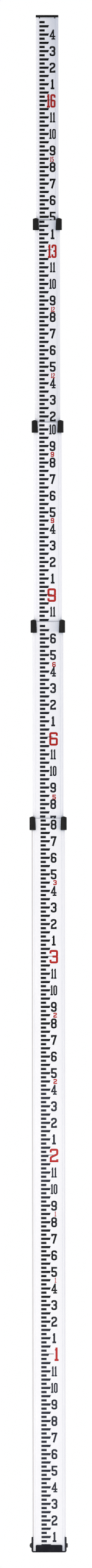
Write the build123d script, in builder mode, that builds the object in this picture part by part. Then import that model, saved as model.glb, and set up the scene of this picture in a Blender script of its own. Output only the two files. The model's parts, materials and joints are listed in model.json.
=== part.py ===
from build123d import *
import os

# A five-section telescopic leveling staff, in millimetres. It stands on its foot with +Z up and
# the zero of its scale at the origin. The scale faces -Y. Sections are numbered from the outer
# tube at the bottom to the inner tube at the top, and the staff stands part-extended.

# Scale reading at the top of each tube, and the length of each inner tube that shows at rest.
top_readings = [1125.2, 2005.1, 3006.6, 4007.6, 5003.0]
shown_lengths = [301.8, 305.9, 309.8, 310.9]

# Tube profile: a flat-oval tube whose two faces are recessed between edge ribs.
tube_width = 51.0
tube_depth = 30.0
wall = 1.1
rib_width = 4.0
rib_height = 0.4
rib_flat = 0.04
corner_radius = 3.0
bore_radius = 1.8
side_gap = 0.975
face_gap = 0.575

# Side clips: a pair grips the top of each of the four outer tubes.
clip_wall = 3.0
clip_lip = 1.6
clip_crown = 0.6
clip_reach_top = 5.8
clip_reach_bottom = 6.6
clip_rise = 3.5
clip_shoulder = 1.9
clip_drop = 17.8
clip_drop_step = 0.8
clip_side_radius = 2.2
clip_ridge_radius = 2.0
clip_corner_radius = 1.0
clip_apex_radius = 3.0
clip_seat_relief = 0.4
passage_gap = 0.35
peg_radius = 0.8
peg_length = 0.9
peg_inset = 5.0
peg_drop = 8.0
peg_gap = 0.05

# Lock lever: a rocker in each clip whose tooth rides on the side of the inner tube.
lever_width = 8.8
lever_thickness = 1.3
lever_gap = 0.2
lever_tip_gap = 0.4
lever_drop = 12.6
pivot_drop = 5.2
hub_gap = 0.15
pin_radius = 0.7
pin_play = 0.05
pin_seat_play = 0.02
pin_grip = 4.0
pin_sink = 1.05
tooth_width = 5.0
tooth_lift = 0.35
tooth_height = 1.7
tooth_bevel = 0.57
tooth_gap = 0.1
slot_gap = 0.4
groove_count = 4
groove_radius = 0.45
groove_pitch = 1.5
groove_depth = 0.3
groove_end = 1.2

# Leaf spring behind the lower arm of each lever.
leaf_thickness = 0.25
leaf_width = 5.0
leaf_foot = 1.2
leaf_bend = 1.0
leaf_touch_drop = 9.3
leaf_curl = 0.7
leaf_curl_lean = 0.35
leaf_bend_radius = 0.5
leaf_gap = 0.03

# Guide bush on the lower end of each inner tube.
bush_flange = 4.0
bush_chamfer = 1.0
bush_plug = 12.0
bush_wall = 1.6
bush_slide_gap = 0.3
plug_gap = 0.05

# Foot: a moulded shoe held by one rivet across the tube.
foot_plate = 2.1
foot_wing = 1.35
foot_wing_wrap = 1.0
foot_wing_height = 23.8
foot_lip_width = 40.7
foot_lip_height = 11.5
foot_lip_proud = 0.8
foot_lip_radius = 2.0
foot_plug_height = 16.0
foot_plug_wall = 2.5
foot_edge_radius = 3.0
foot_wing_radius = 1.0
rivet_height = 10.7
rivet_radius = 2.5
rivet_play = 0.05
rivet_bar_margin = 2.5
rivet_head_radius = 4.2
rivet_head_height = 3.0
rivet_flare_radius = 3.4
rivet_flare_height = 1.9
rivet_flare_bevel = 0.6
rivet_hollow_radius = 1.6
rivet_hollow_depth = 2.4

# Cap that closes the top tube.
cap_thickness = 3.6
cap_overhang = 0.25
cap_edge_radius = 0.9
cap_plug = 14.0
cap_wall = 1.6
cap_lug_width = 1.4
cap_lug_drop = 1.6
cap_lug_spread = 11.7

# Free space left between the pieces when the staff is closed.
stack_gap = 0.4
bottom_gap = 1.5

# Largest distance at which two points count as the same place.
same_place = 1e-4

count = len(top_readings)
tubes = range(count)
inner_tubes = range(1, count)
clipped_tubes = range(count - 1)
sides = {"left": -1, "right": 1}

widths = [tube_width - k * 2 * (wall + side_gap) for k in tubes]
depths = [tube_depth - k * 2 * (wall + rib_height + face_gap) for k in tubes]
bore_widths = [width - 2 * wall for width in widths]
bore_depths = [depth - 2 * (wall + rib_height) for depth in depths]
clip_drops = [clip_drop - k * clip_drop_step for k in clipped_tubes]

# Heights at rest, and the heights of the same tubes when the staff is closed.
tops = [top_readings[0]]
closed_tops = [top_readings[0]]
closed_bottoms = [foot_plate]
closed_stop = foot_plate + foot_plug_height
for k in inner_tubes:
    tops.append(tops[k - 1] + shown_lengths[k - 1])
    clip_below = clip_drops[k] if k in clipped_tubes else 0
    closed_tops.append(closed_tops[k - 1] + clip_rise + stack_gap + clip_below)
    closed_bottoms.append(closed_stop + bottom_gap + bush_flange)
    closed_stop = closed_bottoms[k] + bush_plug
lengths = [top - bottom for top, bottom in zip(closed_tops, closed_bottoms)]
bottoms = [top - length for top, length in zip(tops, lengths)]

# Travel of each inner tube from rest, up to its lock and down to the closed staff.
travel_up = [0.0]
travel_down = [0.0]
for k in inner_tubes:
    travel_up.append(top_readings[k] - top_readings[k - 1] - shown_lengths[k - 1])
    travel_down.append(closed_tops[k] - closed_tops[k - 1] - shown_lengths[k - 1])

pocket_half = lever_width / 2 + lever_gap
pocket_drop = lever_drop + lever_tip_gap
hub_radius = clip_wall / 2 - hub_gap
arm_face = clip_wall - lever_thickness


def save(piece, name):
    """Label a finished piece and write it to its own file."""
    piece.part.label = name
    export_step(piece.part, f"parts/{name}.step")


def side_plane(k, side):
    """Plane on the side of tube k at its rim: local x runs outwards and local y runs up."""
    return Plane(origin=(side * widths[k] / 2, 0, tops[k]), x_dir=(side, 0, 0), z_dir=(0, -side, 0))


def draw_outline(sketch, k, radius):
    """Draw the outside of tube k, with a recess between the ribs of the front and back faces."""
    RectangleRounded(widths[k], depths[k], radius)
    recess_edge = widths[k] / 2 - rib_width
    with Locations((0, depths[k] / 2), (0, -depths[k] / 2)):
        Rectangle(2 * recess_edge, 2 * rib_height, mode=Mode.SUBTRACT)
    steps = sketch.vertices().filter_by(lambda v: abs(abs(v.X) - recess_edge) < same_place)
    fillet(steps, (rib_height - rib_flat) / 2)


def make_tube(k):
    """One extruded tube with its lock slots, clip peg holes and rivet holes."""
    with BuildPart() as tube:
        with BuildSketch(Plane.XY.offset(bottoms[k])) as profile:
            draw_outline(profile, k, corner_radius)
            RectangleRounded(bore_widths[k], bore_depths[k], bore_radius, mode=Mode.SUBTRACT)
        extrude(amount=lengths[k])
        if k in inner_tubes:
            slot_height = tooth_height + 2 * slot_gap
            slot_middle = tops[k - 1] + tooth_lift + tooth_height / 2 - travel_up[k]
            with Locations((0, 0, slot_middle)):
                Box(widths[k] + wall, tooth_width + 2 * slot_gap, slot_height, mode=Mode.SUBTRACT)
        if k in clipped_tubes:
            peg_x = widths[k] / 2 - peg_inset
            pegs = [Location((x, 0, tops[k] - peg_drop), (90, 0, 0)) for x in (-peg_x, peg_x)]
            with Locations(pegs):
                Cylinder(peg_radius + peg_gap, depths[k] + wall, mode=Mode.SUBTRACT)
        if k == 0:
            with Locations(Location((0, 0, rivet_height), (0, 90, 0))):
                Cylinder(rivet_radius + rivet_play, widths[k] + wall, mode=Mode.SUBTRACT)
    return tube


def make_guide_bush(k):
    """Plug in the lower end of tube k, with a flange that slides in the tube outside it."""
    flange_radius = bore_radius + bush_slide_gap
    with BuildPart() as bush:
        with BuildSketch(Plane.XY.offset(bottoms[k] - bush_flange)):
            RectangleRounded(
                bore_widths[k - 1] - 2 * bush_slide_gap,
                bore_depths[k - 1] - 2 * bush_slide_gap,
                flange_radius,
            )
        extrude(amount=bush_flange)
        with BuildSketch(Plane.XY.offset(bottoms[k])):
            RectangleRounded(bore_widths[k] - 2 * plug_gap, bore_depths[k] - 2 * plug_gap, bore_radius)
        extrude(amount=bush_plug)
        with BuildSketch(Plane.XY.offset(bottoms[k] - bush_flange)):
            Rectangle(bore_widths[k] - 2 * bush_wall, bore_depths[k] - 2 * bush_wall)
        extrude(amount=bush_flange + bush_plug, mode=Mode.SUBTRACT)
        lower_rim = bush.faces().sort_by(Axis.Z)[0].outer_wire().edges()
        chamfer(lower_rim, bush_chamfer)
    return bush


def draw_clip_front(sketch, drop):
    """Draw the front view of a clip: a roofed block whose inner edge leans out towards the bottom."""
    Polygon(
        (clip_wall, -drop),
        (clip_wall, clip_shoulder),
        ((clip_wall - clip_reach_top) / 2, clip_rise),
        (-clip_reach_top, clip_shoulder),
        (-clip_reach_bottom, -drop),
        align=None,
    )
    fillet(sketch.vertices().sort_by(Axis.Y)[:-1], clip_corner_radius)
    fillet(sketch.vertices().sort_by(Axis.Y)[-1], clip_apex_radius)


def draw_clip_plan(sketch, k):
    """Draw the top view of a clip: front and back rise to a ridge and the outer corners are round."""
    edge = depths[k] / 2 + clip_lip
    ridge_x = (clip_wall - clip_reach_top) / 2
    Polygon(
        (-clip_reach_bottom, -edge),
        (ridge_x, -edge - clip_crown),
        (clip_wall, -edge),
        (clip_wall, edge),
        (ridge_x, edge + clip_crown),
        (-clip_reach_bottom, edge),
        align=None,
    )
    fillet(sketch.vertices().group_by(Axis.X)[-1], clip_side_radius)
    fillet([sketch.vertices().sort_by(Axis.Y)[0], sketch.vertices().sort_by(Axis.Y)[-1]], clip_ridge_radius)


def make_clip(k, side):
    """Moulded clip on one side of tube k: it hooks behind the ribs and sits on the tube's rim."""
    half_depth = depths[k] / 2 + clip_lip + clip_crown
    hook_plane = side_plane(k, side)
    bottom = tops[k] - clip_drops[k]
    plan_plane = Plane(origin=(side * widths[k] / 2, 0, bottom), x_dir=(side, 0, 0), z_dir=(0, 0, 1))
    with BuildPart() as clip:
        with BuildSketch(hook_plane) as front:
            draw_clip_front(front, clip_drops[k])
        extrude(amount=half_depth, both=True)
        with BuildSketch(plan_plane) as plan:
            draw_clip_plan(plan, k)
        extrude(amount=clip_drops[k] + clip_rise, mode=Mode.INTERSECT)
        # Seat on the tube, and the passage of the next tube above the rim.
        with BuildSketch(Plane.XY.offset(bottom)) as seat:
            draw_outline(seat, k, corner_radius - clip_seat_relief)
        extrude(amount=clip_drops[k], mode=Mode.SUBTRACT)
        with BuildSketch(Plane.XY.offset(tops[k])):
            Rectangle(widths[k + 1] + 2 * passage_gap, depths[k + 1] + 2 * passage_gap)
        extrude(amount=clip_rise, mode=Mode.SUBTRACT)
        # Pocket for the lever, a notch for its tooth and a slot for the foot of its spring.
        with BuildSketch(hook_plane):
            with Locations((0, -pocket_drop)):
                Rectangle(2 * clip_wall, pocket_drop + 2 * clip_rise, align=(Align.MIN, Align.MIN))
        extrude(amount=pocket_half, both=True, mode=Mode.SUBTRACT)
        with BuildSketch(hook_plane):
            Rectangle(2 * clip_reach_top, clip_rise, align=(Align.CENTER, Align.MIN))
        extrude(amount=tooth_width / 2 + lever_gap, both=True, mode=Mode.SUBTRACT)
        with BuildSketch(hook_plane):
            with Locations((0, -pocket_drop)):
                Rectangle(leaf_thickness, leaf_foot, align=(Align.MIN, Align.MAX))
        extrude(amount=leaf_width / 2 + lever_gap, both=True, mode=Mode.SUBTRACT)
        # Hole that the pin is driven into from the back, blind in the front cheek.
        hole_front = -pocket_half - pin_grip
        hole_length = half_depth - hole_front
        pin_x = side * (widths[k] / 2 + clip_wall / 2)
        with Locations(Location((pin_x, hole_front + hole_length / 2, tops[k] - pivot_drop), (90, 0, 0))):
            Cylinder(pin_radius + pin_seat_play, hole_length, mode=Mode.SUBTRACT)
        # Snap pegs inside the front and back lips.
        peg_x = side * (widths[k] / 2 - peg_inset)
        peg_y = depths[k] / 2 - rib_height - peg_length / 2
        pegs = [Location((peg_x, y, tops[k] - peg_drop), (90, 0, 0)) for y in (-peg_y, peg_y)]
        with Locations(pegs):
            Cylinder(peg_radius, peg_length)
    return clip


def make_lever(k, side):
    """Rocker in a clip: a plate on a hub, with a lock tooth above and a grooved finger pad below."""
    hook_plane = side_plane(k, side)
    tooth_tip = -wall - side_gap + tooth_gap
    tooth_top = tooth_lift + tooth_height
    roof_slope = (clip_rise - clip_shoulder) / ((clip_wall + clip_reach_top) / 2)
    outer_top = clip_shoulder - clip_corner_radius
    inner_top = outer_top + lever_thickness * roof_slope + clip_corner_radius
    with BuildPart() as lever:
        with BuildSketch(hook_plane):
            Polygon(
                (arm_face, -lever_drop),
                (clip_wall, -lever_drop),
                (clip_wall, outer_top),
                (arm_face, inner_top),
                align=None,
            )
            with Locations((clip_wall / 2, -pivot_drop)):
                Circle(hub_radius)
        extrude(amount=lever_width / 2, both=True)
        with BuildSketch(hook_plane):
            Polygon(
                (arm_face + lever_thickness / 2, tooth_lift),
                (tooth_tip, tooth_lift),
                (tooth_tip, tooth_top - tooth_bevel),
                (arm_face + lever_thickness / 2, tooth_top),
                align=None,
            )
        extrude(amount=tooth_width / 2, both=True)
        pin_x = side * (widths[k] / 2 + clip_wall / 2)
        with Locations(Location((pin_x, 0, tops[k] - pivot_drop), (90, 0, 0))):
            Cylinder(pin_radius + pin_play, lever_width, mode=Mode.SUBTRACT)
        groove_x = side * (widths[k] / 2 + clip_wall + groove_radius - groove_depth)
        groove_z = tops[k] - lever_drop + groove_end
        grooves = [
            Location((groove_x, 0, groove_z + i * groove_pitch), (90, 0, 0)) for i in range(groove_count)
        ]
        with Locations(grooves):
            Cylinder(groove_radius, lever_width, mode=Mode.SUBTRACT)
    return lever


def make_pin(k, side):
    """Pivot pin of a lever, from the blind end of its hole to just under the back of the clip."""
    front = -pocket_half - pin_grip
    back = depths[k] / 2 + clip_lip - pin_sink
    pin_x = side * (widths[k] / 2 + clip_wall / 2)
    with BuildPart() as pin:
        with Locations(Location((pin_x, (front + back) / 2, tops[k] - pivot_drop), (90, 0, 0))):
            Cylinder(pin_radius, back - front)
    return pin


def make_leaf(k, side):
    """Leaf spring: its foot is trapped under the clip and its free end presses the lever's pad out."""
    flat = leaf_thickness / 2
    touch = arm_face - flat - leaf_gap
    with BuildPart() as leaf:
        with BuildSketch(side_plane(k, side)):
            with BuildLine():
                FilletPolyline(
                    (flat, -pocket_drop - leaf_foot),
                    (flat, -pocket_drop + leaf_bend),
                    (touch, -leaf_touch_drop),
                    (touch - leaf_curl_lean, -leaf_touch_drop + leaf_curl),
                    radius=leaf_bend_radius,
                )
            trace(line_width=leaf_thickness)
        extrude(amount=leaf_width / 2, both=True)
    return leaf


def make_foot_shoe():
    """Black shoe: plate, side wings, front and back lips, and a plug inside the tube."""
    half_depth = tube_depth / 2
    recess = half_depth - rib_height
    with BuildPart() as shoe:
        with BuildSketch():
            RectangleRounded(
                tube_width + 2 * foot_wing, tube_depth + 2 * foot_lip_proud, corner_radius + foot_lip_proud
            )
        extrude(amount=foot_plate)
        # Wings that wrap the sides of the tube.
        with BuildSketch(Plane.XY.offset(foot_plate)) as wings:
            RectangleRounded(
                tube_width + 2 * foot_wing, tube_depth + 2 * foot_lip_proud, corner_radius + foot_lip_proud
            )
            RectangleRounded(tube_width, tube_depth, corner_radius - clip_seat_relief, mode=Mode.SUBTRACT)
            Rectangle(tube_width - 2 * foot_wing_wrap, 2 * tube_depth, mode=Mode.SUBTRACT)
        extrude(amount=foot_wing_height - foot_plate)
        # Lips that fill the foot of the front and back recess.
        for face in (-1, 1):
            with BuildSketch(Plane.XZ.offset(-face * recess)) as lip:
                Rectangle(foot_lip_width, foot_lip_height, align=(Align.CENTER, Align.MIN))
                fillet(lip.vertices().group_by(Axis.Y)[-1], foot_lip_radius)
            extrude(amount=-face * (foot_lip_proud + rib_height))
        # Plug with a bar across it for the rivet.
        plug_width = bore_widths[0] - 2 * plug_gap
        plug_depth = bore_depths[0] - 2 * plug_gap
        with BuildSketch(Plane.XY.offset(foot_plate)):
            RectangleRounded(plug_width, plug_depth, bore_radius)
            Rectangle(plug_width - 2 * foot_plug_wall, plug_depth - 2 * foot_plug_wall, mode=Mode.SUBTRACT)
        extrude(amount=foot_plug_height)
        with BuildSketch(Plane.XY.offset(foot_plate)):
            Rectangle(plug_width - foot_plug_wall, 2 * (rivet_radius + rivet_bar_margin))
        extrude(amount=rivet_height + rivet_radius + rivet_bar_margin - foot_plate)
        with Locations(Location((0, 0, rivet_height), (0, 90, 0))):
            Cylinder(rivet_radius + rivet_play, 2 * tube_width, mode=Mode.SUBTRACT)
        # Front view, with round corners at the sole and at the tops of the wings.
        with BuildSketch(Plane.XZ) as front:
            Rectangle(tube_width + 2 * foot_wing, foot_wing_height, align=(Align.CENTER, Align.MIN))
            fillet(front.vertices().group_by(Axis.Y)[0], foot_edge_radius)
            fillet(front.vertices().group_by(Axis.Y)[-1], foot_wing_radius)
        extrude(amount=tube_depth, both=True, mode=Mode.INTERSECT)
    return shoe


def make_foot_rivet():
    """Long rivet across the foot: a domed head on the left and a hollow clenched end on the right."""
    shoulder = tube_width / 2 + foot_wing
    dome = (rivet_head_radius**2 + rivet_head_height**2) / (2 * rivet_head_height)
    rivet_plane = Plane(origin=(0, 0, rivet_height), x_dir=(1, 0, 0), z_dir=(0, -1, 0))
    flare_end = shoulder + rivet_flare_height
    with BuildPart() as rivet:
        with BuildSketch(rivet_plane):
            with BuildLine():
                RadiusArc((-shoulder - rivet_head_height, 0), (-shoulder, rivet_head_radius), dome)
                Polyline(
                    (-shoulder, rivet_head_radius),
                    (-shoulder, rivet_radius),
                    (shoulder, rivet_radius),
                    (shoulder, rivet_flare_radius),
                    (flare_end - rivet_flare_bevel, rivet_flare_radius),
                    (flare_end, rivet_flare_radius - rivet_flare_bevel),
                    (flare_end, rivet_hollow_radius),
                    (flare_end - rivet_hollow_depth, 0),
                    (-shoulder - rivet_head_height, 0),
                )
            make_face()
        revolve(axis=Axis((0, 0, rivet_height), (1, 0, 0)))
    return rivet


def make_top_cap():
    """Cap on the top tube: a rounded lid, a hollow plug and two small lugs over the scale face."""
    top = tops[-1]
    lug_front = -depths[-1] / 2 - cap_overhang
    with BuildPart() as cap:
        with BuildSketch(Plane.XY.offset(top)):
            RectangleRounded(
                widths[-1] + 2 * cap_overhang, depths[-1] + 2 * cap_overhang, corner_radius + cap_overhang
            )
        extrude(amount=cap_thickness)
        fillet(cap.edges().group_by(Axis.Z)[-1], cap_edge_radius)
        with BuildSketch(Plane.XY.offset(top)):
            RectangleRounded(bore_widths[-1] - 2 * plug_gap, bore_depths[-1] - 2 * plug_gap, bore_radius)
            Rectangle(bore_widths[-1] - 2 * cap_wall, bore_depths[-1] - 2 * cap_wall, mode=Mode.SUBTRACT)
        extrude(amount=-cap_plug)
        with BuildSketch(Plane.XY.offset(top)):
            with Locations((-cap_lug_spread, lug_front), (cap_lug_spread, lug_front)):
                Rectangle(cap_lug_width, cap_overhang + rib_height, align=(Align.CENTER, Align.MIN))
        extrude(amount=-cap_lug_drop)
    return cap


os.makedirs("parts", exist_ok=True)

for k in tubes:
    save(make_tube(k), f"section_{k + 1}")
for k in inner_tubes:
    save(make_guide_bush(k), f"guide_bush_{k + 1}")
for k in clipped_tubes:
    for side_name, side in sides.items():
        save(make_clip(k, side), f"clip_{k + 1}_{side_name}")
        save(make_lever(k, side), f"lock_lever_{k + 1}_{side_name}")
        save(make_pin(k, side), f"lever_pin_{k + 1}_{side_name}")
        save(make_leaf(k, side), f"leaf_spring_{k + 1}_{side_name}")
save(make_foot_shoe(), "foot_shoe")
save(make_foot_rivet(), "foot_rivet")
save(make_top_cap(), "top_cap")

for k in inner_tubes:
    print(f"section_{k + 1} slides {travel_down[k]:.2f} to {travel_up[k]:.2f} mm")
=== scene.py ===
import json
import math

import bmesh
import bpy
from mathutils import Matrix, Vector
from mathutils.geometry import delaunay_2d_cdt, intersect_point_quad_2d


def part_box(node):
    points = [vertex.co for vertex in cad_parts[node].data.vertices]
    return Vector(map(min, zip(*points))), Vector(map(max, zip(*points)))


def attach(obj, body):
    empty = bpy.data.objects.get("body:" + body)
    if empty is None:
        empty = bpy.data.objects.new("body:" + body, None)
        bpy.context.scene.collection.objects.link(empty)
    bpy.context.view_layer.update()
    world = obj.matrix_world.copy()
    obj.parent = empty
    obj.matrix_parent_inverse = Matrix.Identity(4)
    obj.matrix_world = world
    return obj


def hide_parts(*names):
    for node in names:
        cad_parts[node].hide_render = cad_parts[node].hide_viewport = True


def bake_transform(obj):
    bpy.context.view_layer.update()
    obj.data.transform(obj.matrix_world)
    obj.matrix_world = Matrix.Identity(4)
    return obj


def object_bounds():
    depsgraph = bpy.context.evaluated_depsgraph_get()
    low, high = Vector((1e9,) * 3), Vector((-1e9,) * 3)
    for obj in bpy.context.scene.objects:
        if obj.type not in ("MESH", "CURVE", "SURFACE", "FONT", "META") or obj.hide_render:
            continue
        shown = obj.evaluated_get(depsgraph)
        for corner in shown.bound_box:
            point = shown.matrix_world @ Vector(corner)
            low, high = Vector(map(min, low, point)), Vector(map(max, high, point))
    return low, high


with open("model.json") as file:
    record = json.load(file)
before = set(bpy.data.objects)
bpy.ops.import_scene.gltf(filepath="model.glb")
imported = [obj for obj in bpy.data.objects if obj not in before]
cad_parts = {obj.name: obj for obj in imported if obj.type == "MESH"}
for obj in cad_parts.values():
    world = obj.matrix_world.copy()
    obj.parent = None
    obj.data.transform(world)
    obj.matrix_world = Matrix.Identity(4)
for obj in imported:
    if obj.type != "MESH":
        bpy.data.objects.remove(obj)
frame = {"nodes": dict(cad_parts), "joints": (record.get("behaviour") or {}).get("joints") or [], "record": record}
cad_low, cad_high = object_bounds()

# Units: the frame is in metres, and the sizes below are written in millimetres and inches.
mm = 0.001
inch = 25.4 * mm

# How the photograph sees the staff, in its pixels, and how far away the camera stands, in metres.
photo_width = 151
photo_height = 2576
pixels_per_mm = 1.0715
foot_row = 2550.4
axis_column_foot = 80.5
axis_column_top = 77.2
camera_distance = 6.0

# Tubes, counted from the outer one. Lists below have one value for each.
tube_count = 5
outer_tube = 0
fourth_tube = 3

# Printed scale: a bar at every quarter inch, with the reading at its top, and a long one at every half inch.
# The photo shows the bars a little taller than an eighth of an inch.
inches_per_foot = 12
bars_per_inch = 4
bars_per_half = 2
bar_pitch = inch / bars_per_inch
bar_height = 3.6 * mm
short_bar = 8.2 * mm
long_bar = 14.8 * mm
foot_bar = 12.4 * mm
bar_slant = 1.3 * mm
foot_line = 19.3 * mm
foot_line_height = 0.8 * mm
scale_left = [-11.6 * mm, -12.3 * mm, -12.8 * mm, -12.5 * mm, -11.8 * mm]
rib_height = 0.4 * mm
foot_lip_top = 11.5 * mm
black_ink = 0.05 * mm
red_ink = 0.03 * mm

# Figures: a style for one figure and a narrower one for a pair. A 1 has a width of its own.
# Some figures have thinner strokes, given as a share of the style's stroke.
# Places are distances from the left end of the bars, to the middle of a number or to its right end.
usual_share = {"4": 0.78}
from_middle = 0.5
from_right = 1.0
inch_middle = [20.0 * mm, 20.2 * mm, 20.3 * mm, 20.5 * mm, 20.0 * mm]
inch_styles = [
    {"width": 8.9 * mm, "one": 5.8 * mm, "height": 15.5 * mm, "stroke": 2.75 * mm, "round": 2.6 * mm},
    {
        "width": 5.8 * mm, "one": 3.8 * mm, "height": 15.5 * mm, "stroke": 2.15 * mm, "round": 1.8 * mm,
        "gap": 0.6 * mm,
    },
]
foot_right = [26.6 * mm, 27.4 * mm, 25.4 * mm, 26.7 * mm, 24.6 * mm]
foot_drop = [1.0 * mm, 3.4 * mm, 1.7 * mm, 2.5 * mm, 1.9 * mm]
foot_styles = [
    {"width": 13.2 * mm, "one": 6.2 * mm, "height": 20.8 * mm, "stroke": 3.2 * mm, "round": 1.9 * mm},
    {
        "width": 8.0 * mm, "one": 4.8 * mm, "height": 20.8 * mm, "stroke": 2.95 * mm, "round": 1.7 * mm,
        "gap": 0.5 * mm,
    },
]

# Small red figures that repeat the foot at two places in it, except in the first and the last foot.
repeat_inches = (4.5, 8.5)
last_repeat = 16
repeat_middle = [22.0 * mm, 21.6 * mm, 20.1 * mm, 20.8 * mm, 18.9 * mm]
repeat_drop = [0.0, 1.9 * mm, 0.0, 1.0 * mm, 0.7 * mm]
repeat_styles = [
    {
        "width": 5.5 * mm, "one": 2.6 * mm, "height": 7.8 * mm, "stroke": 1.75 * mm, "round": 1.2 * mm,
        "share": {"1": 0.62, "4": 0.78},
    },
    {
        "width": 3.6 * mm, "one": 2.1 * mm, "height": 7.8 * mm, "stroke": 1.3 * mm, "round": 0.9 * mm,
        "gap": 0.4 * mm,
    },
]

# Strokes of the figures in a box that runs from 0 to 1 both ways. A ring closes on itself.
# A third value says that a corner is sharp, or that an end is capped by half a stroke.
sharp = "sharp"
capped = "capped"
figure_rings = {
    "0": [[(0, 0), (1, 0), (1, 1), (0, 1)]],
    "6": [[(0, 0), (1, 0), (1, 0.53), (0, 0.53)]],
    "8": [[(0, 0), (1, 0), (1, 0.52), (0, 0.52)], [(0, 0.52), (1, 0.52), (1, 1), (0, 1)]],
    "9": [[(0, 0.45), (1, 0.45), (1, 1), (0, 1)]],
}
figure_lines = {
    "1": [[(0.5, 0), (0.5, 1, capped)], [(0.5, 0.98), (0, 0.81)], [(0, 0, capped), (1, 0, capped)]],
    "2": [[(0, 0.76), (0, 1), (1, 1), (1, 0.6), (0, 0.34), (0, 0, sharp), (1, 0, sharp), (1, 0.17)]],
    "3": [
        [(0, 0.77), (0, 1), (1, 1), (1, 0.51), (0.3, 0.51)],
        [(0.3, 0.51), (1, 0.51), (1, 0), (0, 0), (0, 0.24)],
    ],
    "4": [
        [(0.7, 0), (0.7, 1, capped)],
        [(0.68, 0.98), (0, 0.28)],
        [(0, 0.28, capped), (1, 0.28, capped)],
        [(0.42, 0, capped), (0.98, 0, capped)],
    ],
    "5": [[(1, 1, capped), (0, 1, sharp), (0, 0.54, sharp), (1, 0.54), (1, 0), (0, 0), (0, 0.23)]],
    "6": [[(1, 0.77), (1, 1), (0, 1), (0, 0.53), (0.5, 0.53)]],
    "7": [[(0, 0.8), (0, 1, sharp), (1, 1, capped)], [(0.97, 1), (0.3, -0.08)]],
    "9": [[(0.5, 0.45), (1, 0.45), (1, 0), (0, 0), (0, 0.23)]],
}

# Outlines of the print: pieces of a curve, and what counts as one place, as flat, as straight and as covered.
# Outlines are joined in millimetres, and inside_only asks for the triangles within them.
curve_steps = 6
inside_only = 1
same_place = 1e-4
weld_reach = 0.003 * mm
flat_angle = math.radians(0.5)
straight = 1e-4
grown_quad = 1.001

# Coat of each tube: a share of the coat colour for each tube, and another share at the lower end of what shows of
# two tubes: painted light on the outer tube's lower end and painted shade on the fourth tube's.
dull_coat = (0.878, 0.875, 0.9)
bright_coat = (0.908, 0.904, 0.921)
coat_white = [1.0, 1.01, 1.06, 1.06, 1.06]
lower_light_share = {outer_tube: 1.055, fourth_tube: 0.98}
lower_light_reach = {outer_tube: 450 * mm, fourth_tube: 130 * mm}

# Rim of each tube, where a band of bare metal below the rim is partly real wear and partly painted shade of the
# rim, and how upright a face cut to the metal points.
rim_wear_and_shade = 0.9 * mm
rim_ragged = 0.5 * mm
rim_soft = 0.15 * mm
bare_metal = (0.42, 0.43, 0.455)
cut_starts = 0.8
cut_full = 0.9

# Painted shade in corners, a bluish grey darkening where a corner hides the surface: how far a corner reaches, and
# how open it is where the painted shade is full and where there is none.
# The left side has less painted shade up to a share of its width from the middle, and keeps a share of it.
shade_colour = (0.5, 0.545, 0.64)
corner_reach = 14 * mm
corner_samples = 3
corner_shaded = 0.5
corner_unshaded = 0.96
left_shade_share = 0.3
left_shade_to = 0.25

# Painted shade that grows towards the right side, and painted shade below the rim.
# The latter lies between the clips on the lower tubes as the painted shadow of the right clip, and along the upper
# end of the top tube.
# It grows from a share of the left half's width to a share of the right half's.
side_shade = [0.1, 0.2, 0.15, 0.25, 0.27]
rim_shade_left = [0.0, 0.0, 0.0, 0.0, 0.15]
rim_shade_right = 0.4
rim_grows_from = 0.2
rim_grows_to = 0.5
rim_shade_start = (tube_count - 1) * [17.5 * mm] + [190 * mm]
rim_shade_full = (tube_count - 1) * [13.5 * mm] + [0.0]

# Left front edge of the outer tube: a warm grey line of painted shade along its rounding.
edge_inset = 1.3 * mm
edge_width = 1.05 * mm
edge_shade_colour = (0.495, 0.46, 0.455)

# Ink of the scale: how grey its black has gone and how deep its red is on each tube.
# Handling has bleached it at some places on the outer tube.
# A place is given by the height of its middle and how far from there it is bleached in full and ends.
black_tone = (0.003, 0.0035, 0.006)
black_thin = (0.007, 0.008, 0.012)
grey_ink = [1.0, 2.1, 1.5, 1.0, 0.2]
red_tone = (0.45, 0.0145, 0.0115)
red_thin = (0.53, 0.03, 0.028)
deep_red = [1.0, 0.9, 1.0, 0.93, 0.81]
bleached_places = [(0.0, 300 * mm, 390 * mm), (630 * mm, 60 * mm, 140 * mm)]
bleached_black = (0.0225, 0.0255, 0.04)
bleached_red = (0.5, 0.029, 0.03)

# Black plastics: colour, colour where handling has rubbed it, roughness and shine.
# The grain is rougher than that by one value, and what is rubbed smoother by the other.
grain_rougher = 0.1
rubbed_smoother = 0.12
plastics = {
    "black_plastic": ((0.0036, 0.0035, 0.0035), (0.0075, 0.0072, 0.007), 0.5, 0.15),
    "lever_plastic": ((0.0055, 0.0053, 0.0052), (0.011, 0.0106, 0.0103), 0.42, 0.15),
    "foot_plastic": ((0.0042, 0.0044, 0.0095), (0.0085, 0.0088, 0.016), 0.55, 0.12),
    "cap_plastic": ((0.0025, 0.0025, 0.0027), (0.005, 0.005, 0.0053), 0.48, 0.15),
}

# Steels: colour and roughness of the ground ones with what their marks change, and the rivet's blackening.
ground_steels = {"pin_steel": ((0.55, 0.55, 0.57), 0.3), "spring_steel": ((0.4, 0.4, 0.43), 0.35)}
grinding_dark = 0.8
grinding_smoother = 0.08
grinding_rougher = 0.12
rivet_black = (0.022, 0.022, 0.024)
rivet_grey = (0.13, 0.125, 0.12)

# Leaf springs: how much of one its clip traps, the curl at its free end, and the pieces that it bends in.
leaf_foot = 2.2 * mm
leaf_curl = 0.7 * mm
leaf_cuts = 6

# Floor: half its side in metres, its colour, and how much whiter it looks than the light makes it.
floor_half = 25.0
floor_colour = (0.9, 0.9, 0.9)
floor_glow = 0.33

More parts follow.
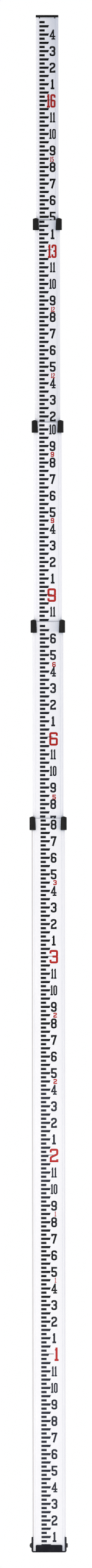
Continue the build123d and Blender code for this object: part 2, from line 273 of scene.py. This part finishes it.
# Light: the even light of the surround, and soft lamps with place, target, size in metres, watts and colour.
white = (1, 1, 1)
ambient = (0.655, 0.66, 0.7)
lamps = {
    "key": ((-0.55, -2.2, 0.35), (0, 0, 1.0), (1.0, 1.0), 13.6, (1, 0.97, 0.8)),
    "front": ((0, -3.2, 0.9), (0, 0, 0.9), (2.0, 2.0), 11, (0.95, 0.92, 1)),
    "left": ((-2.2, -0.4, 1.9), (0, 0, 1.8), (0.6, 1.2), 8, white),
    "right": ((2.2, -0.4, 1.7), (0, 0, 1.6), (0.6, 1.6), 7.5, white),
}

# Colour sockets of a Mix node, by number because their names repeat.
mix_low = 6
mix_high = 7
mix_result = 2

# Frame: the tubes, how far below its full reach each one stands, and the readings that its print spans.
section_names = [f"section_{k + 1}" for k in range(tube_count)]
section_boxes = [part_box(name) for name in section_names]
slide_up = {joint["child"]: joint["range_m"][1] for joint in frame["joints"] if joint["type"] == "slide"}
reach_left = [sum(slide_up.get(name, 0.0) for name in section_names[: k + 1]) for k in range(tube_count)]
top_readings = [box[1].z + left for box, left in zip(section_boxes, reach_left)]
first_readings = [foot_lip_top, *top_readings[:-1]]


# Nodes that the materials share
def new_material(name, colour, roughness=0.5, metallic=0.0, specular=0.5):
    """A material with one Principled shader, ready for texture nodes."""
    material = bpy.data.materials.new(name)
    material.use_nodes = True
    shader = material.node_tree.nodes["Principled BSDF"]
    shader.inputs["Base Color"].default_value = (*colour, 1)
    shader.inputs["Roughness"].default_value = roughness
    shader.inputs["Metallic"].default_value = metallic
    shader.inputs["Specular IOR Level"].default_value = specular
    return material, shader


def scaled(colour, share):
    """A share of a colour."""
    return tuple(share * part for part in colour)


def add_noise(material, scale, detail=3.0, stretch=(1, 1, 1)):
    """Noise in the piece's own metres, stretched along its axes. Returns its factor."""
    nodes = material.node_tree.nodes
    links = material.node_tree.links
    place = nodes.new("ShaderNodeTexCoord")
    mapping = nodes.new("ShaderNodeMapping")
    mapping.inputs["Scale"].default_value = stretch
    noise = nodes.new("ShaderNodeTexNoise")
    noise.inputs["Scale"].default_value = scale
    noise.inputs["Detail"].default_value = detail
    links.new(place.outputs["Object"], mapping.inputs["Vector"])
    links.new(mapping.outputs["Vector"], noise.inputs["Vector"])
    return noise.outputs["Fac"]


def add_ramp(material, factor, low_colour, high_colour, low, high):
    """Colour ramp between two places of a factor."""
    ramp = material.node_tree.nodes.new("ShaderNodeValToRGB")
    ramp.color_ramp.elements[0].position = low
    ramp.color_ramp.elements[0].color = (*low_colour, 1)
    ramp.color_ramp.elements[1].position = high
    ramp.color_ramp.elements[1].color = (*high_colour, 1)
    material.node_tree.links.new(factor, ramp.inputs["Fac"])
    return ramp.outputs["Color"]


def add_range(material, value, low, high, start=0.0, end=1.0):
    """Map a value between two places onto a range, and hold it at the ends of the range outside them."""
    node = material.node_tree.nodes.new("ShaderNodeMapRange")
    node.inputs["From Min"].default_value = start
    node.inputs["From Max"].default_value = end
    node.inputs["To Min"].default_value = low
    node.inputs["To Max"].default_value = high
    material.node_tree.links.new(value, node.inputs["Value"])
    return node.outputs["Result"]


def add_math(tree, operation, *values):
    """One step of arithmetic on sockets and numbers."""
    node = tree.nodes.new("ShaderNodeMath")
    node.operation = operation
    for socket, value in zip(node.inputs, values):
        if isinstance(value, (int, float)):
            socket.default_value = value
        else:
            tree.links.new(value, socket)
    return node.outputs["Value"]


def add_axes(material, source):
    """The x, y and z of the piece's own coordinates, or of the way that its surface faces."""
    nodes = material.node_tree.nodes
    place = nodes.new("ShaderNodeTexCoord")
    axes = nodes.new("ShaderNodeSeparateXYZ")
    material.node_tree.links.new(place.outputs[source], axes.inputs["Vector"])
    return axes.outputs


def add_bump(material, shader, height, distance, strength):
    """Bump of a given depth in metres."""
    bump = material.node_tree.nodes.new("ShaderNodeBump")
    bump.inputs["Distance"].default_value = distance
    bump.inputs["Strength"].default_value = strength
    material.node_tree.links.new(height, bump.inputs["Height"])
    material.node_tree.links.new(bump.outputs["Normal"], shader.inputs["Normal"])


def add_mix(tree, factor, low, high):
    """Blend from one colour or socket to another by a factor."""
    mix = tree.nodes.new("ShaderNodeMix")
    mix.data_type = "RGBA"
    tree.links.new(factor, mix.inputs["Factor"])
    for socket, value in ((mix.inputs[mix_low], low), (mix.inputs[mix_high], high)):
        if isinstance(value, tuple):
            socket.default_value = (*value, 1)
        else:
            tree.links.new(value, socket)
    return mix.outputs[mix_result]


# Coat of the tubes
def add_coat(material, patches, share):
    """Coat that is duller in patches."""
    dull = scaled(dull_coat, share)
    bright = scaled(bright_coat, share)
    return add_ramp(material, patches, dull, bright, low=0.3, high=0.7)


def add_lower_end(material, patches, coat, k):
    """Coat of another share of white at the lower end of what shows of a tube: painted light where the share is
    above 1, painted shade where it is below.
    """
    start = section_boxes[k - 1][1].z if k > outer_tube else 0.0
    height = add_axes(material, "Object")["Z"]
    above = add_range(material, height, 0.0, 1.0, start=start, end=start + lower_light_reach[k])
    return add_mix(material.node_tree, above, add_coat(material, patches, lower_light_share[k]), coat)


def add_rubbed_edge(material, coat, edge):
    """Painted shade along an upright edge, darkest in its middle."""
    tree = material.node_tree
    beside = add_math(tree, "ABSOLUTE", add_math(tree, "SUBTRACT", add_axes(material, "Object")["X"], edge))
    return add_mix(tree, add_range(material, beside, 1.0, 0.0, end=edge_width), coat, edge_shade_colour)


def add_grime(material, coat, k):
    """Painted shade on a tube, a bluish grey film: in corners, towards the right side and below the rim."""
    tree = material.node_tree
    low, high = section_boxes[k]
    place = add_axes(material, "Object")
    # Painted shade from ambient occlusion: darker where a corner hides the surface.
    corner = tree.nodes.new("ShaderNodeAmbientOcclusion")
    corner.samples = corner_samples
    corner.inputs["Distance"].default_value = corner_reach
    hidden = add_range(material, corner.outputs["AO"], 1.0, 0.0, start=corner_shaded, end=corner_unshaded)
    corner_shade_share = add_range(material, place["X"], left_shade_share, 1.0, start=low.x, end=left_shade_to * low.x)
    side = add_range(material, place["X"], 0.0, side_shade[k], start=low.x, end=high.x)
    across = add_range(
        material, place["X"], rim_shade_left[k], rim_shade_right,
        start=rim_grows_from * low.x, end=rim_grows_to * high.x,
    )
    below_rim = add_range(
        material, place["Z"], 0.0, 1.0,
        start=high.z - rim_shade_start[k], end=high.z - rim_shade_full[k],
    )
    side_and_rim_shade = add_math(tree, "MULTIPLY_ADD", across, below_rim, side)
    return add_mix(tree, add_math(tree, "MULTIPLY_ADD", hidden, corner_shade_share, side_and_rim_shade), coat, shade_colour)


def add_bare_metal(material, rim):
    """Factor that is 1 where the coat is gone on faces cut square to the tube, and on a band below the rim that is
    partly worn metal and partly painted shade.
    """
    tree = material.node_tree
    upright = add_math(tree, "ABSOLUTE", add_axes(material, "Normal")["Z"])
    cut = add_range(material, upright, 0.0, 1.0, start=cut_starts, end=cut_full)
    height = add_axes(material, "Object")["Z"]
    ragged = add_math(tree, "MULTIPLY_ADD", add_noise(material, scale=1800.0), rim_ragged, height)
    edge = rim - rim_wear_and_shade + rim_ragged / 2
    # The band below the rim: bare metal that is partly real wear and partly painted shade of the rim.
    worn = add_range(material, ragged, 0.0, 1.0, start=edge, end=edge + rim_soft)
    return add_math(tree, "MAXIMUM", cut, worn)


def coated_tube(k):
    """White baked coat on drawn aluminium with fine grain and faint draw marks, painted light and shade, and bare
    metal at the cut faces and the rim, where the metal band is partly painted shade.
    """
    low, high = section_boxes[k]
    material, shader = new_material(f"coated_tube_{k + 1}", bright_coat, specular=0.4)
    links = material.node_tree.links
    patches = add_noise(material, scale=9.0, detail=4.0, stretch=(4, 4, 1))
    coat = add_coat(material, patches, coat_white[k])
    # Painted light at the outer tube's lower end, painted shade at the fourth tube's.
    if k in lower_light_share:
        coat = add_lower_end(material, patches, coat, k)
    # Painted shade along the outer tube's left front edge.
    if k == outer_tube:
        coat = add_rubbed_edge(material, coat, low.x + edge_inset)
    # Bare metal on cut faces, and a metal band at the rim that is partly painted shade.
    bare_and_rim_shade = add_bare_metal(material, high.z)
    # The coat under it carries painted shade in corners, towards the right and below the rim.
    surface = add_mix(material.node_tree, bare_and_rim_shade, add_grime(material, coat, k), bare_metal)
    links.new(surface, shader.inputs["Base Color"])
    links.new(bare_and_rim_shade, shader.inputs["Metallic"])
    draw_marks = add_noise(material, scale=900.0, detail=2.0, stretch=(1, 1, 0.004))
    links.new(add_range(material, draw_marks, low=0.3, high=0.48), shader.inputs["Roughness"])
    grain = add_noise(material, scale=700.0, detail=2.0)
    add_bump(material, shader, grain, distance=0.02 * mm, strength=0.35)
    return material


# Plastics, steels and inks
def moulded_plastic(name):
    """Black moulded plastic with a fine spark grain, rubbed smoother and greyer by handling."""
    colour, rubbed_colour, roughness, shine = plastics[name]
    material, shader = new_material(name, colour, specular=shine)
    links = material.node_tree.links
    rubbed = add_noise(material, scale=120.0, detail=4.0)
    rough = add_range(material, rubbed, roughness + grain_rougher, roughness - rubbed_smoother)
    links.new(rough, shader.inputs["Roughness"])
    worn = add_ramp(material, rubbed, colour, rubbed_colour, low=0.45, high=0.75)
    links.new(worn, shader.inputs["Base Color"])
    add_bump(material, shader, add_noise(material, scale=2600.0), distance=0.04 * mm, strength=0.5)
    return material


def ground_steel(name):
    """Bare steel with marks of grinding."""
    colour, roughness = ground_steels[name]
    material, shader = new_material(name, colour, metallic=1.0)
    links = material.node_tree.links
    marks = add_noise(material, scale=2500.0, detail=2.0, stretch=(1, 0.1, 1))
    streaks = add_ramp(material, marks, scaled(colour, grinding_dark), colour, low=0.3, high=0.7)
    links.new(streaks, shader.inputs["Base Color"])
    rough = add_range(material, marks, roughness - grinding_smoother, roughness + grinding_rougher)
    links.new(rough, shader.inputs["Roughness"])
    return material


def black_rivet():
    """Blackened steel, rubbed grey in places."""
    material, shader = new_material("black_rivet", rivet_black, roughness=0.42, metallic=0.5)
    rubbed = add_noise(material, scale=420.0, detail=5.0)
    worn = add_ramp(material, rubbed, rivet_black, rivet_grey, low=0.58, high=0.74)
    material.node_tree.links.new(worn, shader.inputs["Base Color"])
    add_bump(material, shader, rubbed, distance=0.05 * mm, strength=0.3)
    return material


def add_bleached(material, ink, colour):
    """Bleach an ink at the places where the outer tube is handled."""
    tree = material.node_tree
    height = add_axes(material, "Object")["Z"]
    for middle, full, end in bleached_places:
        away = add_math(tree, "ABSOLUTE", add_math(tree, "SUBTRACT", height, middle))
        ink = add_mix(tree, add_range(material, away, 1.0, 0.0, start=full, end=end), ink, colour)
    return ink


def printed_ink(name, colour, thin_colour, bleached_colour, k):
    """Screen-printed ink of one tube, a little uneven where it was squeezed thin."""
    material, shader = new_material(f"{name}_{k + 1}", colour, specular=0.12)
    links = material.node_tree.links
    thin = add_noise(material, scale=1100.0, detail=4.0)
    ink = add_ramp(material, thin, colour, thin_colour, low=0.5, high=0.85)
    if k == outer_tube:
        ink = add_bleached(material, ink, bleached_colour)
    links.new(ink, shader.inputs["Base Color"])
    links.new(add_range(material, thin, low=0.42, high=0.58), shader.inputs["Roughness"])
    return material


slot_materials = {
    "black_plastic": moulded_plastic("black_plastic"),
    "lever_plastic": moulded_plastic("lever_plastic"),
    "steel": ground_steel("pin_steel"),
    "spring_steel": ground_steel("spring_steel"),
    "rivet": black_rivet(),
}
node_materials = {"foot_shoe": moulded_plastic("foot_plastic"), "top_cap": moulded_plastic("cap_plastic")}
for k, name in enumerate(section_names):
    node_materials[name] = coated_tube(k)
for row in frame["record"]["subparts"]:
    node = frame["nodes"][row["node"]]
    node.data.materials.clear()
    node.data.materials.append(node_materials.get(row["node"]) or slot_materials[row["material_slot"]])


# Outlines of the print: flat figures and bars on the scale face, drawn in x and z
def add_print(mesh, outlines, face):
    """Join four-sided outlines, which may overlap, into one flat print on a face."""
    origin = outlines[0][0]
    quads = [[(point - origin) / mm for point in outline] for outline in outlines]
    covers = [[quad[0].lerp(quad[2], 0.5).lerp(point, grown_quad) for point in quad] for quad in quads]
    corners = [point for quad in quads for point in quad]
    edges = [(4 * i + j, 4 * i + (j + 1) % 4) for i in range(len(quads)) for j in range(4)]
    points, _, triangles, *_ = delaunay_2d_cdt(corners, edges, [], inside_only, same_place)
    dots = {}
    for triangle in triangles:
        middle = sum((points[i] for i in triangle), Vector((0, 0))) / 3
        if any(intersect_point_quad_2d(middle, *quad) for quad in covers):
            for i in triangle:
                if i not in dots:
                    x = origin.x + points[i].x * mm
                    z = origin.y + points[i].y * mm
                    dots[i] = mesh.verts.new((x, face, z))
            mesh.faces.new([dots[i] for i in triangle])


def add_caps(points, reach):
    """Lengthen a path at its capped ends."""
    longer = list(points)
    for end, neighbour in ((0, 1), (-1, -2)):
        place, note = points[end]
        if note == capped:
            longer[end] = (place + (place - points[neighbour][0]).normalized() * reach, note)
    return longer


def round_corners(points, radius, closed):
    """Replace the corners of a path by curves that start a radius away from them, unless they are sharp."""
    path = []
    for i, (corner, note) in enumerate(points):
        at_end = i in (0, len(points) - 1)
        if note == sharp or at_end and not closed:
            path.append(corner)
            continue
        before = points[i - 1][0] - corner
        after = points[(i + 1) % len(points)][0] - corner
        start = corner + before.normalized() * min(radius, before.length / 2)
        end = corner + after.normalized() * min(radius, after.length / 2)
        for step in range(curve_steps + 1):
            t = step / curve_steps
            path.append((1 - t) ** 2 * start + 2 * t * (1 - t) * corner + t**2 * end)
    reach = same_place * mm
    earlier = path[-1:] + path[:-1] if closed else [None, *path[:-1]]
    return [point for point, old in zip(path, earlier) if old is None or (point - old).length > reach]


def stroke_outlines(points, stroke, radius, closed):
    """Outline one stroke of a figure: a rectangle for each stretch of it and a corner piece for each bend."""
    path = round_corners(points, radius, closed)
    half = stroke / 2
    ends = path[1:] + path[:1] if closed else path[1:]
    stretches = list(zip(path, ends))
    sides = [(end - start).orthogonal().normalized() * half for start, end in stretches]
    outlines = [
        (start - side, end - side, end + side, start + side) for (start, end), side in zip(stretches, sides)
    ]
    bends = zip(ends, sides, sides[1:] + sides[:1]) if closed else zip(ends, sides, sides[1:])
    for bend, before, after in bends:
        turn = before.cross(after)
        if abs(turn) > straight * half**2:
            outer = -1 if turn > 0 else 1
            tip = (before + after) / (1 + before.dot(after) / half**2)
            outlines.append((bend, bend + outer * before, bend + outer * tip, bend + outer * after))
    return outlines


def digit_outlines(digit, left, width, middle, style):
    """Outline one figure centred on a height."""
    stroke = style["stroke"] * style.get("share", usual_share).get(digit, 1)
    corner = Vector((left + stroke / 2, middle - style["height"] / 2 + stroke / 2))
    span = Vector((width - stroke, style["height"] - stroke))
    outlines = []
    for closed, strokes in ((True, figure_rings), (False, figure_lines)):
        for points in strokes.get(digit, []):
            placed = []
            for u, v, *note in points:
                placed.append((corner + Vector((u * span.x, v * span.y)), note[0] if note else None))
            outlines += stroke_outlines(add_caps(placed, stroke / 2), stroke, style["round"], closed)
    return outlines


def number_width(digits, style):
    """Width of a number of one or two figures."""
    widths = [style["one"] if digit == "1" else style["width"] for digit in digits]
    return sum(widths) + style.get("gap", 0.0) * (len(digits) - 1)


def add_number(mesh, number, styles, place, share, middle, face):
    """Add a number of one or two figures at a height, with a share of its width to the left of a place."""
    digits = str(int(number))
    style = styles[len(digits) - 1]
    left = place - share * number_width(digits, style)
    for digit in digits:
        width = number_width(digit, style)
        add_print(mesh, digit_outlines(digit, left, width, middle, style), face)
        left += width + style.get("gap", 0.0)


def bar_outline(left, top, length, height=bar_height, slant=0.0):
    """Outline one bar, with a slanted end or a square one."""
    right = left + length
    bottom = top - height
    return [Vector(point) for point in ((left, bottom), (right - slant, bottom), (right, top), (left, top))]


def draw_scale(k, black, red):
    """Draw the marks and figures of one tube from its first reading to its top."""
    left = scale_left[k]
    face = section_boxes[k][0].y + rib_height
    first = math.ceil(first_readings[k] / bar_pitch)
    last = math.floor(top_readings[k] / bar_pitch)
    for bar in range(first, last + 1):
        top = bar * bar_pitch - reach_left[k]
        middle = top - bar_height / 2
        feet, inches = divmod(bar / bars_per_inch, inches_per_foot)
        if inches == 0:
            mark = bar_outline(left, top, foot_bar, slant=bar_slant)
            add_print(black, [mark, bar_outline(left, top, foot_line, foot_line_height)], face)
            place = left + foot_right[k]
            add_number(red, feet, foot_styles, place, from_right, top - foot_drop[k], face)
            continue
        if bar % bars_per_half == 0:
            add_print(black, [bar_outline(left, top, long_bar, slant=bar_slant)], face)
        else:
            add_print(black, [bar_outline(left, top, short_bar)], face)
        if inches == int(inches):
            place = left + inch_middle[k]
            add_number(black, inches, inch_styles, place, from_middle, middle, face)
        elif inches in repeat_inches and 0 < feet < last_repeat:
            place = left + repeat_middle[k]
            add_number(red, feet, repeat_styles, place, from_middle, middle - repeat_drop[k], face)


# Pieces of print that ride on the tubes
def cut_across(mesh, height, **options):
    """Cut a mesh at a height."""
    geometry = [*mesh.verts, *mesh.edges, *mesh.faces]
    bmesh.ops.bisect_plane(mesh, geom=geometry, plane_co=(0, 0, height), **options)


def cut_to_tube(mesh, k):
    """Cut the flat print off at the ends of the tube's stretch of the scale."""
    for height, way in ((first_readings[k] - reach_left[k], -1), (section_boxes[k][1].z, 1)):
        cut_across(mesh, height, plane_no=(0, 0, way), clear_outer=True)


def new_piece(mesh, name, material):
    """Turn a mesh in the making into an object of the scene."""
    data = bpy.data.meshes.new(name)
    mesh.to_mesh(data)
    mesh.free()
    data.materials.append(material)
    piece = bpy.data.objects.new(name, data)
    bpy.context.scene.collection.objects.link(piece)
    return piece


def add_piece(mesh, ink, name, material, body):
    """Thicken a flat print by its ink and make it a piece that rides on a body."""
    bmesh.ops.remove_doubles(mesh, verts=mesh.verts, dist=weld_reach)
    bmesh.ops.dissolve_limit(mesh, angle_limit=flat_angle, verts=mesh.verts, edges=mesh.edges)
    grown = bmesh.ops.extrude_face_region(mesh, geom=mesh.faces, use_keep_orig=True)["geom"]
    front = [part for part in grown if isinstance(part, bmesh.types.BMVert)]
    bmesh.ops.translate(mesh, verts=front, vec=(0, -ink, 0))
    bmesh.ops.recalc_face_normals(mesh, faces=mesh.faces)
    piece = new_piece(mesh, name, material)
    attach(piece, body)


for k, body in enumerate(section_names):
    black_marks = bmesh.new()
    red_figures = bmesh.new()
    draw_scale(k, black_marks, red_figures)
    cut_to_tube(black_marks, k)
    cut_to_tube(red_figures, k)
    grey = grey_ink[k]
    deep = deep_red[k]
    black = printed_ink("black_print", scaled(black_tone, grey), scaled(black_thin, grey), bleached_black, k)
    red = printed_ink("red_print", scaled(red_tone, deep), scaled(red_thin, deep), bleached_red, k)
    add_piece(black_marks, black_ink, f"scale_marks_{k + 1}", black, body)
    add_piece(red_figures, red_ink, f"foot_figures_{k + 1}", red, body)


# Leaf springs: each one bends between the clip that traps its foot and the lever that it presses out
def add_bending_leaf(name):
    """Stand in for a leaf spring with a copy cut across into pieces between its trapped foot and its curl, and
    hide the leaf itself.
    """
    low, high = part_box(name)
    foot = low.z + leaf_foot
    touch = high.z - leaf_curl
    mesh = bmesh.new()
    mesh.from_mesh(frame["nodes"][name].data)
    for cut in range(1, leaf_cuts):
        cut_across(mesh, foot + (touch - foot) * cut / leaf_cuts, plane_no=(0, 0, 1))
    leaf = new_piece(mesh, f"bending_{name}", slot_materials["spring_steel"])
    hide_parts(name)
    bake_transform(leaf)


for joint in frame["record"]["behaviour"]["joints"]:
    for bent in joint.get("deforming_nodes", []):
        add_bending_leaf(bent["node"])


# Stage: a pale floor, a white surround, soft lamps and the camera
def add_seen_rays(tree):
    """Factor that is 1 for rays that show a surface, direct, mirrored or through glass, and 0 for others."""
    rays = tree.nodes.new("ShaderNodeLightPath").outputs
    seen = add_math(tree, "MAXIMUM", rays["Is Camera Ray"], rays["Is Glossy Ray"])
    return add_math(tree, "MAXIMUM", seen, rays["Is Transmission Ray"])


def add_floor():
    """Pale floor under the staff. It looks nearly as white as the surround and keeps the shadow."""
    mesh = bmesh.new()
    corners = [(-1, -1), (1, -1), (1, 1), (-1, 1)]
    mesh.faces.new([mesh.verts.new((x * floor_half, y * floor_half, 0)) for x, y in corners])
    material, shader = new_material("floor", floor_colour, roughness=0.7)
    shader.inputs["Emission Color"].default_value = (*white, 1)
    glow = add_range(material, add_seen_rays(material.node_tree), 0.0, floor_glow)
    material.node_tree.links.new(glow, shader.inputs["Emission Strength"])
    floor = new_piece(mesh, "floor", material)


def add_surround():
    """White where the camera and reflections look, and an even soft light elsewhere."""
    world = bpy.data.worlds.new("surround")
    world.use_nodes = True
    bpy.context.scene.world = world
    tree = world.node_tree
    light = add_mix(tree, add_seen_rays(tree), ambient, white)
    tree.links.new(light, tree.nodes["Background"].inputs["Color"])


def add_softbox(name, place, target, size, power, colour):
    """Rectangular lamp that faces a target."""
    lamp = bpy.data.lights.new(name, "AREA")
    lamp.shape = "RECTANGLE"
    lamp.size, lamp.size_y = size
    lamp.energy = power
    lamp.color = colour
    holder = bpy.data.objects.new(name, lamp)
    bpy.context.scene.collection.objects.link(holder)
    holder.location = place
    holder.rotation_euler = (Vector(target) - Vector(place)).to_track_quat("-Z", "Y").to_euler()


def add_camera():
    """Straight front view without perspective, framed as the photograph."""
    staff_height = cad_high.z - cad_low.z
    drift = (axis_column_foot - axis_column_top) / pixels_per_mm * mm
    middle_column = (axis_column_foot + axis_column_top) / 2
    data = bpy.data.cameras.new("camera")
    data.type = "ORTHO"
    data.ortho_scale = photo_height / pixels_per_mm * mm
    camera = bpy.data.objects.new("camera", data)
    bpy.context.scene.collection.objects.link(camera)
    camera.location = (
        (photo_width / 2 - middle_column) / pixels_per_mm * mm,
        -camera_distance,
        (foot_row - photo_height / 2) / pixels_per_mm * mm,
    )
    camera.rotation_euler = (math.radians(90), math.atan2(drift, staff_height), 0)
    bpy.context.scene.camera = camera


add_floor()
add_surround()
for name, values in lamps.items():
    add_softbox(name, *values)
add_camera()
bpy.context.scene.view_settings.view_transform = "Standard"
